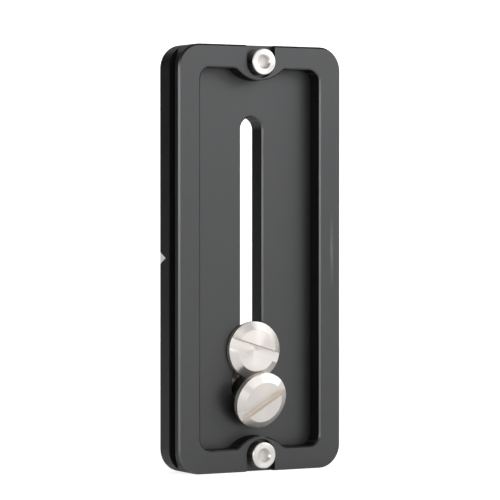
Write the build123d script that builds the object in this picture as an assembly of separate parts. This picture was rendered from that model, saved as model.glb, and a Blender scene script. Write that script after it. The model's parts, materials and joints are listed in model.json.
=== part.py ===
from build123d import *
import math
import os

# Tripod quick release plate: a milled dovetail plate, two captive camera screws in its
# keyhole slot, and a stop screw in a notch at each end. Millimetres.
# The plate stands on one short end: X runs across its width, Z along its length, and the
# clamp face with the pocket looks towards -Y. The origin is the middle of the lower end.

# Plate body
plate_length = 90.0
plate_width = 39.0
plate_thickness = 8.9
corner_radius = 5.0
edge_chamfer = 0.35

# Dovetail groove along both long sides, measured from the clamp face
lip_height = 1.7
groove_opening = 2.85
groove_depth = 1.9

# Pocket in the clamp face
side_rim = 5.1
end_rim = 4.87
floor_thickness = 4.8
pocket_corner_radius = 2.5
pocket_chamfer = 0.3

# Stop screws, their notches and the S-curved bosses round the notches
stop_inset = 3.5
stop_head_diameter = 5.5
stop_head_height = 3.0
stop_head_rounding = 0.25
stop_proud = 1.5
stop_thread_diameter = 3.0
stop_thread_length = 6.0
stop_thread_chamfer = 0.4
stop_hex_width = 2.5
stop_hex_depth = 1.5
stop_hex_turn = 30.0
stop_mouth_chamfer = 0.3
stop_hole_clearance = 0.05
stop_hole_chamfer = 0.3
notch_clearance = 0.65
notch_wall = 0.5
boss_nose_radius = 7.4
boss_half_width = 6.4

# Keyhole slot through the pocket floor
slot_width = 5.2
slot_inset = 17.6
slot_chamfer = 0.3
entry_inset = 18.2
entry_diameter = 9.4

# Camera screws
head_diameter = 12.2
head_height = 2.3
head_chamfer_width = 1.65
head_chamfer_height = 1.0
head_under_chamfer = 0.2
driver_slot_width = 2.2
driver_slot_depth = 1.1
neck_clearance = 0.15
neck_length = 6.4
thread_diameter = 6.35
thread_length = 4.0
thread_lead_in = 0.5

# Where the camera screws rest
upper_screw_height = 25.5
upper_screw_turn = -17.5
seat_clearance = 0.1
lower_screw_proud = 1.44
lower_screw_droop = 16.3
lower_screw_swing = 4.5
lower_screw_turn = 34.0
entry_clearance = 0.35

# Worked-out sizes
pocket_depth = plate_thickness - floor_thickness
notch_radius = stop_head_diameter / 2 + notch_clearance
notch_depth = stop_head_height - stop_proud
boss_rise = stop_inset + notch_radius + notch_wall - end_rim
flank_radius = (boss_half_width**2 + boss_rise**2) / (2 * boss_rise) - boss_nose_radius
neck_diameter = slot_width - 2 * neck_clearance
past_edge = 1.0

# Pieces are drawn lying down, clamp face up: x across, y along the length from the lower
# end, z out of the clamp face, which is z = 0. This plane then stands them on that end.
standing = Plane(origin=(0, -plate_thickness / 2, 0), x_dir=(1, 0, 0), z_dir=(0, -1, 0))


def at_both_ends(shape):
    """The shape drawn at the lower end, and its copy turned round to the upper end."""
    return [shape, Pos(0, plate_length) * Rot(0, 0, 180) * shape]


def boss_face():
    """Boss round a stop notch: a broad nose that runs into the pocket's end in two S-curves."""
    nose_y = end_rim + boss_rise - boss_nose_radius
    flank_y = end_rim + flank_radius
    meeting = math.degrees(math.atan2(flank_y - nose_y, boss_half_width))
    nose = CenterArc((0, nose_y), boss_nose_radius, meeting, 180 - 2 * meeting)
    right = CenterArc((boss_half_width, flank_y), flank_radius, 180 + meeting, 90 - meeting)
    left = CenterArc((-boss_half_width, flank_y), flank_radius, 270, 90 - meeting)
    base = Polyline(right @ 1, (boss_half_width, 0), (-boss_half_width, 0), left @ 0)
    return make_face([*nose.edges(), *right.edges(), *left.edges(), *base.edges()])


def pocket():
    """Pocket between the two bosses, its walls square to its floor."""
    rounded = RectangleRounded(
        plate_width - 2 * side_rim, plate_length - 2 * end_rim, pocket_corner_radius
    )
    outline = Pos(0, plate_length / 2) * rounded
    for boss in at_both_ends(boss_face()):
        outline -= boss
    return extrude(outline, amount=-pocket_depth)


def dovetail_groove():
    """Groove in the left side: a 45 degree flank under the lip, a root and a flat shoulder."""
    side = -plate_width / 2
    root = side + groove_depth
    shoulder = -lip_height - groove_opening
    section = Polyline(
        (side - past_edge, -lip_height + past_edge),
        (root, -lip_height - groove_depth),
        (root, shoulder),
        (side - past_edge, shoulder),
        close=True,
    )
    start = Plane.XZ.offset(past_edge)
    return extrude(start * make_face(section), amount=-(plate_length + 2 * past_edge))


def stop_notch():
    """U-shaped seat for a stop screw's head, open to the plate's end."""
    way_out = stop_inset + past_edge
    round_end = Pos(0, stop_inset) * Circle(notch_radius)
    channel = Pos(0, stop_inset - way_out / 2) * Rectangle(2 * notch_radius, way_out)
    return extrude(Pos(0, 0, -notch_depth) * (round_end + channel), amount=notch_depth + past_edge)


def stop_hole():
    """Through hole for a stop screw, with a countersunk mouth on the camera face."""
    radius = stop_thread_diameter / 2 + stop_hole_clearance
    bore = Pos(0, stop_inset) * extrude(Circle(radius), amount=-plate_thickness)
    mouth = Cone(
        radius + stop_hole_chamfer, radius, stop_hole_chamfer,
        align=(Align.CENTER, Align.CENTER, Align.MIN),
    )
    return bore + Pos(0, stop_inset, -plate_thickness) * mouth


def keyhole():
    """Slot for the camera screws, with a round entry hole at its lower end."""
    slot_top = plate_length - slot_inset
    slot_middle = (entry_inset + slot_top) / 2
    slot = Rot(0, 0, 90) * SlotCenterToCenter(slot_top - entry_inset, slot_width)
    slot = Pos(0, slot_middle) * slot
    entry = Pos(0, entry_inset) * Circle(entry_diameter / 2)
    return extrude(slot + entry, amount=-plate_thickness)


def level_face(shape, height):
    """The flat face of the shape that lies level at this height."""
    return shape.faces().filter_by(Axis.Z).filter_by(lambda f: abs(f.center().Z - height) < 0.001)[0]


def plate():
    """The whole milled plate, lying clamp face up."""
    blank = RectangleRounded(plate_width, plate_length, corner_radius)
    body = extrude(Pos(0, plate_length / 2) * blank, amount=-plate_thickness)
    body -= pocket()
    body = chamfer(level_face(body, 0).inner_wires()[0].edges(), pocket_chamfer)
    body -= keyhole()
    for height in (-pocket_depth, -plate_thickness):
        body = chamfer(level_face(body, height).inner_wires()[0].edges(), slot_chamfer)
    for height in (0, -plate_thickness):
        body = chamfer(level_face(body, height).outer_wire().edges(), edge_chamfer)
    groove = dovetail_groove()
    body -= groove
    body -= mirror(groove, about=Plane.YZ)
    for cut in at_both_ends(stop_notch()) + at_both_ends(stop_hole()):
        body -= cut
    return body


def camera_screw(turn):
    """Camera screw along z, its head's flat at z = 0, with the driver slot turned by this angle."""
    head_radius = head_diameter / 2
    neck_radius = neck_diameter / 2
    thread_radius = thread_diameter / 2
    under_head = -head_height
    thread_start = under_head - neck_length
    tip = thread_start - thread_length
    half_section = Polyline(
        (0, 0),
        (head_radius - head_chamfer_width, 0),
        (head_radius, -head_chamfer_height),
        (head_radius, under_head + head_under_chamfer),
        (head_radius - head_under_chamfer, under_head),
        (neck_radius, under_head),
        (neck_radius, thread_start),
        (thread_radius, thread_start - thread_lead_in),
        (thread_radius, tip + thread_lead_in),
        (thread_radius - thread_lead_in, tip),
        (0, tip),
        close=True,
    )
    screw = revolve(Plane.XZ * make_face(half_section), Axis.Z)
    driver_slot = Box(
        head_diameter + past_edge, driver_slot_width, driver_slot_depth,
        align=(Align.CENTER, Align.CENTER, Align.MAX),
    )
    return Rot(0, 0, turn) * (screw - driver_slot)


def seated_camera_screw():
    """Upper camera screw, its head down on the pocket floor."""
    flat = -pocket_depth + seat_clearance + head_height
    return Pos(0, upper_screw_height, flat) * camera_screw(upper_screw_turn)


def drooping_camera_screw():
    """Lower camera screw, lifted out, its neck resting on the lower edge of the entry hole."""
    rise = math.tan(math.radians(lower_screw_droop)) / math.cos(math.radians(lower_screw_swing))
    edge_depth = lower_screw_proud + pocket_depth + slot_chamfer
    rest_height = entry_inset - entry_diameter / 2 + entry_clearance
    height = rest_height + neck_diameter / 2 * math.hypot(1, rise) - edge_depth * rise
    leaning = Rot(0, lower_screw_swing, 0) * Rot(lower_screw_droop, 0, 0)
    return Pos(0, height, lower_screw_proud) * leaning * camera_screw(lower_screw_turn)


def stop_screw():
    """Socket head cap screw, its head seated in the notch at the lower end."""
    top_down = (Align.CENTER, Align.CENTER, Align.MAX)
    head = Cylinder(stop_head_diameter / 2, stop_head_height, align=top_down)
    head = fillet(head.faces().sort_by(Axis.Z)[-1].edges(), stop_head_rounding)
    thread = Cylinder(stop_thread_diameter / 2, stop_thread_length, align=top_down)
    thread = chamfer(thread.faces().sort_by(Axis.Z)[0].edges(), stop_thread_chamfer)
    hexagon = Rot(0, 0, stop_hex_turn) * RegularPolygon(stop_hex_width / 2, 6, major_radius=False)
    socket = extrude(hexagon, amount=-stop_hex_depth)
    mouth_radius = stop_hex_width / 2 + stop_mouth_chamfer
    mouth = Cone(stop_hex_width / 2, mouth_radius, stop_mouth_chamfer, align=top_down)
    screw = head - socket - mouth + Pos(0, 0, -stop_head_height) * thread
    return Pos(0, stop_inset, stop_proud) * screw


stop_screw_bottom, stop_screw_top = at_both_ends(stop_screw())
nodes = {
    "plate": plate(),
    "camera_screw_upper": seated_camera_screw(),
    "camera_screw_lower": drooping_camera_screw(),
    "stop_screw_top": stop_screw_top,
    "stop_screw_bottom": stop_screw_bottom,
}

os.makedirs("parts", exist_ok=True)
for name, piece in nodes.items():
    export_step(standing * piece, f"parts/{name}.step")
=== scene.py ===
import json
import math

import bmesh
import bpy
from mathutils import Matrix, Vector


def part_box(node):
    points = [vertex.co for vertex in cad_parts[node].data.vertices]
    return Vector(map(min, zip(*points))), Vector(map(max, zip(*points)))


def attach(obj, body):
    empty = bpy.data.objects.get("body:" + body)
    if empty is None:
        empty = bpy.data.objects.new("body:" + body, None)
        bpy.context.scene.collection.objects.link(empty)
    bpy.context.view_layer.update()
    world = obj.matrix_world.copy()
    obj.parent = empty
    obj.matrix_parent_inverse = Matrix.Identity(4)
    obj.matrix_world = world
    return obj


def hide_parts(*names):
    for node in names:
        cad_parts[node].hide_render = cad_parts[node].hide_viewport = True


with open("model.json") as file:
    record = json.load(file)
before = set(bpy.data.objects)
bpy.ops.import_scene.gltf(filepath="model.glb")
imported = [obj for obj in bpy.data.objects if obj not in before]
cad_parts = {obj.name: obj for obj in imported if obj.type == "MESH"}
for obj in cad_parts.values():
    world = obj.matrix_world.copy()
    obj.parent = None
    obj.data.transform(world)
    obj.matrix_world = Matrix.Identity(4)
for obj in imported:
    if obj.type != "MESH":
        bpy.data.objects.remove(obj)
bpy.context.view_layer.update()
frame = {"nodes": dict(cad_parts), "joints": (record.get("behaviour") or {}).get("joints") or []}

MM = 0.001
# Slack for telling a surface by where it lies: in general, at a slot's walls and at its broken edge
SLACK = 0.05 * MM
WALL_SLACK = 0.02 * MM
EDGE_SLACK = 0.01 * MM
# Distance at which two points are one, on a screw's head and on its shank
HEAD_WELD = 0.001 * MM
SHANK_WELD = 0.0005 * MM

# The photograph's view of the plate
IMAGE_SIZE = 500
SENSOR_WIDTH = 36.0
FOCAL_PIXELS = 2633.0
PIXELS_PER_MM = 4.735
CENTRE_PIXEL = (260.9, 258.57)
CAMERA_YAW = 29.0
CAMERA_PITCH = 1.0
CAMERA_CLIP = (0.01, 20.0)

# Quarter inch camera thread, along the screw's axis from the flat of its head
CUT_DEPTH = 5.0 * MM
THREAD_START = 8.7 * MM
THREAD_TIP = 12.7 * MM
THREAD_PITCH = 1.27 * MM
NECK_RADIUS = 2.45 * MM
THREAD_RADIUS = 3.175 * MM
TIP_RADIUS = 2.675 * MM
THREAD_RUN_IN = 0.6 * MM
THREAD_STEPS = 72
# Turns drawn past each end of the thread and cut off there
SPARE_TURNS = 2
# One pitch of the thread's section: part of the pitch, part of the thread's height
THREAD_SECTION = ((0.0, 0.0), (0.25, 0.0), (0.5625, 1.0), (0.6875, 1.0))

# Camera screw's head, its driver slot, and how far each slot's upper edge is broken
HEAD_HEIGHT = 2.3 * MM
SLOT_HALF_WIDTH = 1.1 * MM
SLOT_DEPTH = 1.1 * MM
UPPER_SLOT_BEVEL = 0.04 * MM
LOWER_SLOT_BEVEL = 0.09 * MM
# What tells a slot's walls from the rest of the head: the parts of a wall's and of the outside's
# normals along the screw, and how far from the screw's axis a wall lies
WALL_LEAN = 0.01
OUTSIDE_LEAN = -0.5
WALL_REACH = 1.1 * SLOT_HALF_WIDTH
# Faces closer in slant than the first angle are one face, edges sharper than the second stay sharp
FLAT_ANGLE = 0.5
SHARP_ANGLE = 28.0

# Stop screw's head: its socket, and the knurling round its side
SOCKET_RADIUS = 1.6 * MM
SOCKET_RIM = 0.3 * MM
KNURL_RADIUS = 2.7 * MM
KNURL_RIBS = 48

# Scuff on the right rim of the clamp face: its middle and half size, and the grain of its fibres
SCUFF_MIDDLE = (17.4 * MM, 46.5 * MM)
SCUFF_HALF = (0.55 * MM, 8.5 * MM)
SCUFF_SCALE = 3500.0
SCUFF_STRETCH = (1, 1, 0.04)
SCUFF_FIBRES = (0.35, 0.65, 0.3, 1.0)

# Walls of the pocket and of the side grooves, where shade is painted as a deeper black:
# the most that a wall turns to the front, how far out it lies, how far it runs from the plate's
# middle, and its depths
WALL_SLANT = 0.3
POCKET_REACH = 14.6 * MM
POCKET_RUN = 41.0 * MM
POCKET_FLOOR = -0.36 * MM
GROOVE_REACH = (17.5 * MM, 19.3 * MM)
GROOVE_RUN = 43.8 * MM
GROOVE_DEPTHS = (-2.7 * MM, 0.15 * MM)

# Painted centre mark on the left side, a triangle with its base on the rear edge
MARK_BASE = 4.1 * MM
MARK_APEX = 1.6 * MM
MARK_HALF = 1.28 * MM
MARK_RISE = 0.17 * MM

# Black anodising: its two shades and those of its parts, its gloss seen edge on, its roughness,
# and the size of its clouds and grain
BLACK_SHADES = ((0.0935, 0.0945, 0.0965, 1), (0.1015, 0.1025, 0.1045, 1))
# Painted shade: darker black on the pocket's walls and in the side grooves
RECESS_SHADE_BLACK = (0.045, 0.045, 0.047, 1)
WORN_BLACK = (0.131, 0.132, 0.134, 1)
SCUFF_GREY = (0.2, 0.2, 0.204, 1)
MARK_WHITE = (0.92, 0.92, 0.9, 1)
EDGE_GLOSS = (0.6, 0.6, 0.6, 1)
SATIN_ROUGHNESS = (0.41, 0.45)
WORN_POLISH = 0.06
BLACK_CLOUDS = 260.0
GRAIN_SCALE = 7000.0
GRAIN_HEIGHT = 0.0015 * MM
# Largest part of the normal, from a face of the plate to one of its chamfers
CHAMFER_SLANTS = (0.8, 0.72)
# Part of a noise's range that a finish's roughness is spread over
CLOUD_RANGE = (0.3, 0.7)

# Turned steel: camera screws' head and tip, stop screws' head and socket, painted shade on slot, neck
# and knurling
CAMERA_STEEL = (0.89, 0.845, 0.8, 1)
# Slot walls and the slot's broken upper edge: darker, as painted shade
SLOT_WALL_SHADE = (0.6, 0.54, 0.48, 1)
SLOT_EDGE_SHADE = (0.24, 0.21, 0.18, 1)
# Neck painted dark as the shade inside the plate's hole, lighter towards the tip
NECK_SHADE = (0.18, 0.174, 0.165, 1)
TIP_STEEL = (0.68, 0.655, 0.625, 1)
NECK_BLEND = 0.1 * MM
STOP_STEEL = (0.9, 0.88, 0.85, 1)
SOCKET_STEEL = (0.8, 0.775, 0.745, 1)
# Knurled side painted dark, with lighter ribs, as the shade of the knurling
KNURL_PAINTED_SHADES = ((0.1, 0.097, 0.092, 1), (0.42, 0.4, 0.38, 1))
BRUSHED_ROUGHNESS = (0.35, 0.41)
SLOT_POLISH = 0.06
BRUSHING = 0.7
STEEL_CLOUDS = 500.0
RING_SCALE = 9000.0
RING_LEAN = 0.7
RING_HEIGHT = 0.003 * MM

# Soft boxes round the plate: degrees to the right of the clamp face's normal, degrees up,
# width and height in degrees as the plate sees them, and radiance
LIGHT_DISTANCE = 0.6
SOFT_BOXES = {
    "left": (-58, 5, 48, 14, 3.35),
    "front": (7, 5, 46, 14, 1.65),
    "key": (45, 26, 30, 32, 3.3),
    "right": (75, 12, 30, 30, 2.0),
    "upper": (-2, 32, 44, 30, 1.4),
    "far_left": (-88, 12, 24, 30, 1.75),
    "back": (118, 25, 30, 30, 1.0),
    "above": (-160, 60, 40, 40, 0.75),
}

# White floor, a white sheet behind the plate, and the dim light that comes from all round
STAGE_WHITE = (0.86, 0.86, 0.86, 1)
FLOOR_REACH = 1.5
FLOOR_GLOW = 0.8
BACKDROP_AWAY = 0.6
BACKDROP_HALF = 0.4
BACKDROP_HEIGHT = 0.5
BACKDROP_GLOW = 1.0
WORLD_DIM = (0.025, 0.025, 0.026, 1)
# Painted pool of light on the floor, seen only in the metal: how much of the studio's white it shows,
# close in front of the plate and all round it
NEAR_GLOW = 0.36
FAR_GLOW = 0.17
GLOW_MIDDLE = (0.03, -0.06, 0.0)
GLOW_RADII = (0.06, 0.2)
# Painted shadow on the floor, seen only in the metal: the share of that white which is left close to
# the plate's foot
FOOT_MIDDLE = (0.008, -0.006, 0.0)
FOOT_RADII = (0.008, 0.024)
FOOT_SHADOW_SHARE = 0.7
# Distances between which the floor turns plain white for the camera, whatever light falls on it
PLAIN_RADII = (0.25, 0.7)

plate_low, plate_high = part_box("plate")
plate_middle = (plate_low + plate_high) / 2


def link(thing):
    bpy.context.scene.collection.objects.link(thing)
    return thing


def make_camera():
    """Camera that sees the middle of the clamp face at its pixel, at the photograph's scale."""
    face = Vector((plate_middle.x, plate_low.y, plate_middle.z))
    yaw = math.radians(CAMERA_YAW)
    pitch = math.radians(CAMERA_PITCH)
    level = Vector((math.sin(yaw), math.cos(yaw), 0))
    right = Vector((math.cos(yaw), -math.sin(yaw), 0))
    forward = level * math.cos(pitch) - Vector((0, 0, 1)) * math.sin(pitch)
    up = right.cross(forward)
    distance = FOCAL_PIXELS / PIXELS_PER_MM * MM
    pixel = distance / FOCAL_PIXELS
    aside = (CENTRE_PIXEL[0] - IMAGE_SIZE / 2) * pixel
    below = (CENTRE_PIXEL[1] - IMAGE_SIZE / 2) * pixel
    data = bpy.data.cameras.new("camera")
    data.sensor_width = SENSOR_WIDTH
    data.lens = SENSOR_WIDTH * FOCAL_PIXELS / IMAGE_SIZE
    data.clip_start, data.clip_end = CAMERA_CLIP
    camera = link(bpy.data.objects.new("camera", data))
    turn = Matrix((right, up, -forward)).transposed().to_4x4()
    place = face - forward * distance - right * aside + up * below
    camera.matrix_world = Matrix.Translation(place) @ turn
    bpy.context.scene.camera = camera


def facing(azimuth, elevation):
    """Direction out from the clamp face, azimuth degrees to the right of its normal."""
    a = math.radians(azimuth)
    e = math.radians(elevation)
    return Vector((math.sin(a) * math.cos(e), -math.cos(a) * math.cos(e), math.sin(e)))


def soft_box(name, azimuth, elevation, width, height, radiance):
    """Soft box of this radiance, turned towards the middle of the plate."""
    way = facing(azimuth, elevation)
    data = bpy.data.lights.new(name, "AREA")
    data.shape = "RECTANGLE"
    data.size = 2 * LIGHT_DISTANCE * math.tan(math.radians(width / 2))
    data.size_y = 2 * LIGHT_DISTANCE * math.tan(math.radians(height / 2))
    data.energy = radiance * math.pi * data.size * data.size_y
    lamp = link(bpy.data.objects.new(name, data))
    turn = way.to_track_quat("Z", "Y").to_matrix().to_4x4()
    lamp.matrix_world = Matrix.Translation(plate_middle + way * LIGHT_DISTANCE) @ turn


class Nodes:
    """Short names for adding and joining the nodes of one node tree."""

    def __init__(self, tree):
        self.tree = tree

    def add(self, kind, **values):
        node = self.tree.nodes.new("ShaderNode" + kind)
        for name, value in values.items():
            setattr(node, name, value)
        return node

    def join(self, source, target):
        self.tree.links.new(source, target)

    def feed(self, socket, value):
        """Join the value to the socket if it comes from a node, or else set it there."""
        if isinstance(value, bpy.types.NodeSocket):
            self.join(value, socket)
        else:
            socket.default_value = value

    def split(self, vector):
        node = self.add("SeparateXYZ")
        self.join(vector, node.inputs[0])
        return tuple(node.outputs)

    def math(self, operation, first, second=0.0):
        node = self.add("Math", operation=operation)
        self.feed(node.inputs[0], first)
        self.feed(node.inputs[1], second)
        return node.outputs[0]

    def below(self, value, limit):
        return self.math("LESS_THAN", value, limit)

    def above(self, value, limit):
        return self.math("GREATER_THAN", value, limit)

    def every(self, first, *others):
        """Product of these, so 1 where all of them are 1."""
        for other in others:
            first = self.math("MULTIPLY", first, other)
        return first

    def between(self, value, low, high):
        return self.every(self.above(value, low), self.below(value, high))

    def apart(self, value, middle):
        """How far the value is from the middle, on either side."""
        return self.math("ABSOLUTE", self.math("SUBTRACT", value, middle))

    def spread(self, value, low, high, to_low, to_high):
        """The range from low to high turned into the range from to_low to to_high."""
        node = self.add("MapRange")
        for socket, number in zip(node.inputs, (value, low, high, to_low, to_high)):
            self.feed(socket, number)
        return node.outputs[0]

    def distance(self, vector, point):
        node = self.add("VectorMath", operation="DISTANCE")
        self.join(vector, node.inputs[0])
        node.inputs[1].default_value = point
        return node.outputs["Value"]

    def noise(self, vector, scale):
        node = self.add("TexNoise")
        self.join(vector, node.inputs["Vector"])
        node.inputs["Scale"].default_value = scale
        return node.outputs["Fac"]

    def blend(self, part, first, second):
        """First colour where part is 0, second where it is 1."""
        node = self.add("Mix", data_type="RGBA")
        self.feed(node.inputs[0], part)
        self.feed(node.inputs[6], first)
        self.feed(node.inputs[7], second)
        return node.outputs[2]

    def bump(self, height, distance):
        node = self.add("Bump")
        self.join(height, node.inputs["Height"])
        node.inputs["Distance"].default_value = distance
        node.inputs["Strength"].default_value = 1.0
        return node.outputs["Normal"]


def new_material(name):
    material = bpy.data.materials.new(name)
    material.use_nodes = True
    nodes = Nodes(material.node_tree)
    shader = material.node_tree.nodes["Principled BSDF"]
    return material, nodes, shader


def painted_recess_shade(n, x, y, z, wall):
    """1 on the pocket's walls and in the side grooves, where shade is painted darker."""
    aside = n.math("ABSOLUTE", x)
    along = n.apart(z, plate_middle.z)
    pocket = n.every(
        wall, n.below(y, POCKET_FLOOR), n.below(aside, POCKET_REACH), n.below(along, POCKET_RUN)
    )
    groove = n.every(
        n.between(aside, *GROOVE_REACH), n.between(y, *GROOVE_DEPTHS), n.below(along, GROOVE_RUN)
    )
    return n.math("MAXIMUM", pocket, groove)


def centre_mark(n, x, y, z):
    """1 on the painted triangle."""
    half = n.spread(y, MARK_APEX, MARK_BASE, 0.0, MARK_HALF)
    inside = n.below(n.apart(z, plate_middle.z + MARK_RISE), half)
    return n.every(inside, n.below(x, plate_low.x + SLACK))


def rim_scuff(n, place, x, y, z):
    """Up to 1 in the middle of the scuff, in fine fibres along the plate."""
    fibres = n.add("Mapping")
    n.join(place, fibres.inputs["Vector"])
    fibres.inputs["Scale"].default_value = SCUFF_STRETCH
    parts = [n.below(y, plate_low.y + SLACK)]
    for value, middle, half in zip((x, z), SCUFF_MIDDLE, SCUFF_HALF):
        parts.append(n.spread(n.apart(value, middle), 0.0, half, 1.0, 0.0))
    parts.append(n.spread(n.noise(fibres.outputs[0], SCUFF_SCALE), *SCUFF_FIBRES))
    return n.every(*parts)


def anodised_material():
    """Black satin anodised aluminium, a little brighter on its chamfers, with painted shade in its
    recesses and the centre mark.
    """
    material, n, shader = new_material("black_anodised")
    shader.inputs["Specular Tint"].default_value = EDGE_GLOSS
    coords = n.add("TexCoord")
    place = coords.outputs["Object"]
    x, y, z = n.split(place)
    slants = [n.math("ABSOLUTE", part) for part in n.split(coords.outputs["Normal"])]
    steepest = n.math("MAXIMUM", n.math("MAXIMUM", slants[0], slants[1]), slants[2])
    worn = n.spread(steepest, *CHAMFER_SLANTS, 0.0, 1.0)
    cloud = n.noise(place, BLACK_CLOUDS)
    grain = n.noise(place, GRAIN_SCALE)
    mark = centre_mark(n, x, y, z)

    colour = n.blend(cloud, *BLACK_SHADES)
    # Painted shade: the pocket's walls and the side grooves darker
    colour = n.blend(painted_recess_shade(n, x, y, z, n.below(slants[1], WALL_SLANT)), colour, RECESS_SHADE_BLACK)
    colour = n.blend(worn, colour, WORN_BLACK)
    colour = n.blend(rim_scuff(n, place, x, y, z), colour, SCUFF_GREY)
    n.join(n.blend(mark, colour, MARK_WHITE), shader.inputs["Base Color"])
    n.join(n.math("SUBTRACT", 1.0, mark), shader.inputs["Metallic"])
    satin = n.spread(cloud, *CLOUD_RANGE, *SATIN_ROUGHNESS)
    n.join(n.math("SUBTRACT", satin, n.every(worn, WORN_POLISH)), shader.inputs["Roughness"])
    n.join(n.bump(grain, GRAIN_HEIGHT), shader.inputs["Normal"])
    return material


def camera_screw_steel(n, y, z, slot_bevel):
    """Colour of a camera screw along its axis, painted darker as shade on its slot's walls, broken
    edge and neck, and where the floor of its driver slot is.
    """
    on_shank = n.spread(z, HEAD_HEIGHT, HEAD_HEIGHT + NECK_BLEND, 0.0, 1.0)
    to_tip = n.spread(z, THREAD_START, THREAD_TIP, 0.0, 1.0)
    # Painted shade on the neck inside the plate's hole, lighter towards the tip
    shank = n.blend(to_tip, NECK_SHADE, TIP_STEEL)
    in_slot = n.below(n.math("ABSOLUTE", y), SLOT_HALF_WIDTH + WALL_SLACK)
    in_slot = n.every(in_slot, n.below(z, HEAD_HEIGHT))
    on_floor = n.every(in_slot, n.above(z, SLOT_DEPTH - SLACK))
    wall_shade = n.math("SUBTRACT", in_slot, on_floor)
    broken = n.between(y, SLOT_HALF_WIDTH + EDGE_SLACK, SLOT_HALF_WIDTH + slot_bevel)
    broken = n.every(broken, n.below(z, SLOT_DEPTH))
    # Painted shade: the slot's walls and its broken edge darker
    colour = n.blend(wall_shade, CAMERA_STEEL, SLOT_WALL_SHADE)
    colour = n.blend(broken, colour, SLOT_EDGE_SHADE)
    return n.blend(on_shank, colour, shank), on_floor


def stop_screw_steel(n, x, y, z, radius):
    """Colour of a stop screw: bright head, darker in its socket, its knurled side painted dark with
    lighter ribs as the shade of knurling.
    """
    under_rim = n.above(z, SOCKET_RIM)
    in_socket = n.every(under_rim, n.below(radius, SOCKET_RADIUS))
    knurl_shade = n.every(under_rim, n.above(radius, KNURL_RADIUS))
    angle = n.every(n.math("ARCTAN2", y, x), KNURL_RIBS)
    rib_shades = n.spread(n.math("SINE", angle), -1.0, 1.0, 0.0, 1.0)
    colour = n.blend(in_socket, STOP_STEEL, SOCKET_STEEL)
    return n.blend(knurl_shade, colour, n.blend(rib_shades, *KNURL_PAINTED_SHADES))


def steel_material(name, place, slot_bevel=None):
    """Turned stainless steel, its tool marks round the axis of the screw at this place."""
    material, n, shader = new_material(name)
    shader.inputs["Metallic"].default_value = 1.0
    shader.inputs["Anisotropic"].default_value = BRUSHING
    coords = n.add("TexCoord")
    local = n.add("Mapping", vector_type="TEXTURE")
    n.join(coords.outputs["Object"], local.inputs["Vector"])
    local.inputs["Location"].default_value = place.to_translation()
    local.inputs["Rotation"].default_value = place.to_euler()
    x, y, z = n.split(local.outputs[0])
    radius = n.math("SQRT", n.math("ADD", n.every(x, x), n.every(y, y)))

    # The sheen runs out from the axis, across the tool marks
    outwards = n.add("CombineXYZ")
    n.join(x, outwards.inputs[0])
    n.join(y, outwards.inputs[1])
    turned = n.add("VectorRotate", rotation_type="EULER_XYZ")
    n.join(outwards.outputs[0], turned.inputs["Vector"])
    turned.inputs["Rotation"].default_value = place.to_euler()
    radial = n.add("VectorTransform", vector_type="VECTOR", convert_from="OBJECT", convert_to="WORLD")
    n.join(turned.outputs[0], radial.inputs[0])
    n.join(radial.outputs[0], shader.inputs["Tangent"])

    rings = n.add("TexNoise", noise_dimensions="1D")
    n.join(n.math("ADD", radius, n.every(z, RING_LEAN)), rings.inputs["W"])
    rings.inputs["Scale"].default_value = RING_SCALE
    cloud = n.noise(coords.outputs["Object"], STEEL_CLOUDS)
    roughness = n.spread(cloud, *CLOUD_RANGE, *BRUSHED_ROUGHNESS)
    if slot_bevel:
        colour, on_floor = camera_screw_steel(n, y, z, slot_bevel)
        roughness = n.math("SUBTRACT", roughness, n.every(on_floor, SLOT_POLISH))
    else:
        colour = stop_screw_steel(n, x, y, z, radius)
    n.join(colour, shader.inputs["Base Color"])
    n.join(roughness, shader.inputs["Roughness"])
    n.join(n.bump(rings.outputs["Fac"], RING_HEIGHT), shader.inputs["Normal"])
    return material


def axis_place(origin, axis):
    """Frame at a screw head's flat, its z running along the screw from head to tip."""
    return Matrix.Translation(origin) @ axis.to_track_quat("Z", "X").to_matrix().to_4x4()


def thread_height(depth):
    """How much of the thread stands out at this depth: none at the neck, cut back at the tip."""
    run_in = (depth - THREAD_START) / THREAD_RUN_IN
    tip = (TIP_RADIUS + THREAD_TIP - depth - NECK_RADIUS) / (THREAD_RADIUS - NECK_RADIUS)
    return max(0.0, min(1.0, run_in, tip))


def shank_mesh():
    """Neck and right-hand thread, closed at both ends, along z."""
    mesh = bmesh.new()
    turns = int((THREAD_TIP - THREAD_START) / THREAD_PITCH) + 1 + SPARE_TURNS
    columns = []
    for step in range(THREAD_STEPS + 1):
        part = step / THREAD_STEPS
        angle = 2 * math.pi * part
        rows = [(CUT_DEPTH, NECK_RADIUS)]
        for turn in range(-SPARE_TURNS, turns):
            for share, height in THREAD_SECTION:
                depth = THREAD_START + THREAD_PITCH * (turn + share + part)
                clamped = min(max(depth, THREAD_START), THREAD_TIP)
                inside = height * thread_height(depth) if depth == clamped else 0.0
                rows.append((clamped, NECK_RADIUS + inside * (THREAD_RADIUS - NECK_RADIUS)))
        columns.append([
            mesh.verts.new((math.cos(angle) * radius, math.sin(angle) * radius, depth))
            for depth, radius in rows
        ])
    for first, second in zip(columns, columns[1:]):
        for i in range(len(first) - 1):
            mesh.faces.new((first[i], second[i], second[i + 1], first[i + 1]))
    for end, flip in ((0, True), (-1, False)):
        ring = [column[end] for column in columns[:-1]]
        mesh.faces.new(ring[::-1] if flip else ring)
    bmesh.ops.remove_doubles(mesh, verts=mesh.verts, dist=SHANK_WELD)
    bmesh.ops.dissolve_degenerate(mesh, edges=mesh.edges, dist=SHANK_WELD)
    bmesh.ops.recalc_face_normals(mesh, faces=mesh.faces)
    return mesh


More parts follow.
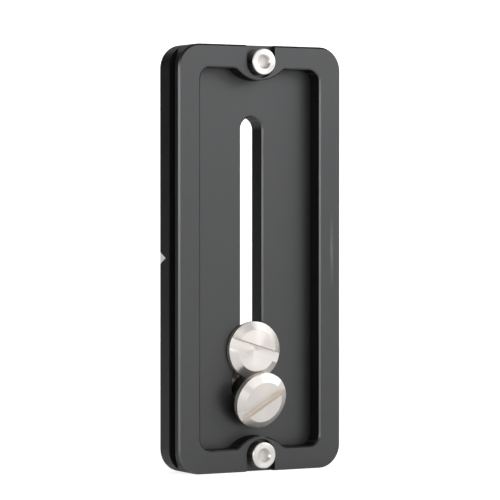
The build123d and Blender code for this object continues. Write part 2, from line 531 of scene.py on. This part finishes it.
def is_slot_wall(face):
    """Whether this face of a head, z into the screw, is a wall of its driver slot."""
    middle = face.calc_center_median()
    upright = abs(face.normal.z) < WALL_LEAN
    return upright and abs(face.normal.dot(middle)) < WALL_REACH and middle.z < SLOT_DEPTH


def is_slot_mouth(edge):
    """Whether this edge runs between the driver slot's upper wall and the outside of the head."""
    shallow = all(vertex.co.z < SLOT_DEPTH - SLACK for vertex in edge.verts)
    walls = [is_slot_wall(face) for face in edge.link_faces]
    outside = [face.normal.z < OUTSIDE_LEAN for face in edge.link_faces]
    upper = sum(vertex.co.y for vertex in edge.verts) > 0
    return upper and shallow and any(walls) and any(outside)


def node_mesh(node_name, place):
    """Copy of a node's mesh, seen from this frame."""
    mesh = bmesh.new()
    mesh.from_mesh(frame["nodes"][node_name].data)
    mesh.transform(place.inverted())
    return mesh


def slot_place(node_name, place):
    """The same frame, turned about the screw so that its y runs up across the driver slot."""
    head = node_mesh(node_name, place)
    head.normal_update()
    walls = [face for face in head.faces if is_slot_wall(face)]
    across = max(walls, key=lambda face: face.calc_area()).normal.copy()
    head.free()
    if (place.to_3x3() @ across).z < 0:
        across.negate()
    return place @ Matrix.Rotation(math.atan2(across.y, across.x) - math.pi / 2, 4, "Z")


def head_mesh(node_name, place, slot_bevel):
    """The screw's slotted head with the slot's upper edge broken, cut off on the neck and closed."""
    head = node_mesh(node_name, place)
    bmesh.ops.remove_doubles(head, verts=head.verts, dist=HEAD_WELD)
    flat = math.radians(FLAT_ANGLE)
    bmesh.ops.dissolve_limit(head, angle_limit=flat, verts=head.verts, edges=head.edges)
    head.normal_update()
    mouth = [edge for edge in head.edges if is_slot_mouth(edge)]
    bmesh.ops.bevel(head, geom=mouth, offset=slot_bevel, segments=1, profile=0.5, affect="EDGES")
    bmesh.ops.remove_doubles(head, verts=head.verts, dist=HEAD_WELD)
    bmesh.ops.dissolve_degenerate(head, edges=head.edges, dist=HEAD_WELD)
    everything = head.verts[:] + head.edges[:] + head.faces[:]
    cut = bmesh.ops.bisect_plane(
        head, geom=everything, plane_co=(0, 0, CUT_DEPTH), plane_no=(0, 0, 1), clear_outer=True
    )
    rim = [part for part in cut["geom_cut"] if isinstance(part, bmesh.types.BMEdge)]
    bmesh.ops.holes_fill(head, edges=rim)
    return head


def camera_screw(node_name, body, place, slot_bevel):
    """Camera screw with its slotted head, on a neck with a real thread."""
    place = slot_place(node_name, place)
    head = head_mesh(node_name, place, slot_bevel)
    shank = shank_mesh()
    data = bpy.data.meshes.new(node_name + "_threaded")
    shank.to_mesh(data)
    head.from_mesh(data)
    head.transform(place)
    head.to_mesh(data)
    for mesh in (head, shank):
        mesh.free()
    if "custom_normal" in data.attributes:
        data.attributes.remove(data.attributes["custom_normal"])
    for polygon in data.polygons:
        polygon.use_smooth = True
    data.set_sharp_from_angle(angle=math.radians(SHARP_ANGLE))
    data.materials.clear()
    data.materials.append(steel_material(body + "_steel", place, slot_bevel))
    piece = link(bpy.data.objects.new(node_name + "_threaded", data))
    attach(piece, body)
    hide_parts(node_name)


def paint(node_name, material):
    slots = frame["nodes"][node_name].data.materials
    slots.clear()
    slots.append(material)


def sheet_mesh(name, corners):
    data = bpy.data.meshes.new(name)
    data.from_pydata(corners, [], [tuple(range(len(corners)))])
    return link(bpy.data.objects.new(name, data))


def studio_white(name, glow):
    """White surface whose own glow, for the camera, makes it plain white but for a soft shadow, and
    which shows the metal a painted pool of light with a painted shadow at the plate's foot.
    """
    material = bpy.data.materials.new(name)
    material.use_nodes = True
    n = Nodes(material.node_tree)
    material.node_tree.nodes.clear()
    out = n.add("OutputMaterial")
    matt = n.add("BsdfDiffuse")
    matt.inputs["Color"].default_value = STAGE_WHITE
    light = n.add("Emission")
    both = n.add("AddShader")
    path = n.add("LightPath")
    seen = n.math("MAXIMUM", path.outputs["Is Camera Ray"], path.outputs["Is Transmission Ray"])
    place = n.add("TexCoord").outputs["Object"]
    away = n.distance(place, GLOW_MIDDLE)
    # Painted pool of light in front of the plate and painted shadow at its foot, seen only in
    # reflections
    painted_pool = n.spread(away, *GLOW_RADII, NEAR_GLOW, FAR_GLOW)
    foot = n.spread(n.distance(place, FOOT_MIDDLE), *FOOT_RADII, FOOT_SHADOW_SHARE, 1.0)
    mirrored = n.every(path.outputs["Is Glossy Ray"], painted_pool, foot)
    plain = n.every(seen, n.spread(away, *PLAIN_RADII, glow, 1.0))
    n.join(n.math("MAXIMUM", plain, mirrored), light.inputs["Strength"])
    n.join(matt.outputs[0], both.inputs[0])
    n.join(light.outputs[0], both.inputs[1])
    n.join(both.outputs[0], out.inputs[0])
    return material


def make_stage():
    """White floor under the plate and a white sheet behind it, as the camera sees it."""
    signs = ((-1, -1), (1, -1), (1, 1), (-1, 1))
    floor = sheet_mesh("floor", [(x * FLOOR_REACH, y * FLOOR_REACH, 0) for x, y in signs])
    floor.data.materials.append(studio_white("floor_white", FLOOR_GLOW))
    yaw = math.radians(CAMERA_YAW)
    away = Vector((math.sin(yaw), math.cos(yaw), 0)) * BACKDROP_AWAY
    side = Vector((math.cos(yaw), -math.sin(yaw), 0)) * BACKDROP_HALF
    top = Vector((0, 0, BACKDROP_HEIGHT))
    backdrop = sheet_mesh("backdrop", [away - side, away + side, away + side + top, away - side + top])
    backdrop.data.materials.append(studio_white("backdrop_white", BACKDROP_GLOW))


def make_world():
    """White behind the object for the camera, dim grey for everything else."""
    world = bpy.data.worlds.new("studio")
    bpy.context.scene.world = world
    world.use_nodes = True
    n = Nodes(world.node_tree)
    world.node_tree.nodes.clear()
    out = n.add("OutputWorld")
    mix = n.add("MixShader")
    white = n.add("Background")
    dim = n.add("Background")
    path = n.add("LightPath")
    white.inputs["Color"].default_value = (1, 1, 1, 1)
    dim.inputs["Color"].default_value = WORLD_DIM
    n.join(path.outputs["Is Camera Ray"], mix.inputs[0])
    n.join(dim.outputs[0], mix.inputs[1])
    n.join(white.outputs[0], mix.inputs[2])
    n.join(mix.outputs[0], out.inputs[0])


def screw_place(node_name):
    """Frame at the flat of a screw that lies square to the plate."""
    low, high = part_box(node_name)
    middle = Vector(((low.x + high.x) / 2, low.y, (low.z + high.z) / 2))
    return axis_place(middle, Vector((0, 1, 0)))


turning = next(joint for joint in frame["joints"] if joint["name"] == "lower_screw_turn")
upper_place = screw_place("camera_screw_upper")
lower_place = axis_place(Vector(turning["pos_m"]), Vector(turning["axis"]))

paint("plate", anodised_material())
for stop in ("stop_screw_top", "stop_screw_bottom"):
    paint(stop, steel_material(stop + "_steel", screw_place(stop)))
camera_screw("camera_screw_upper", "upper_screw", upper_place, UPPER_SLOT_BEVEL)
camera_screw("camera_screw_lower", "lower_screw", lower_place, LOWER_SLOT_BEVEL)

make_camera()
make_world()
make_stage()
for box, values in SOFT_BOXES.items():
    soft_box(box, *values)

bpy.context.scene.view_settings.view_transform = "Standard"
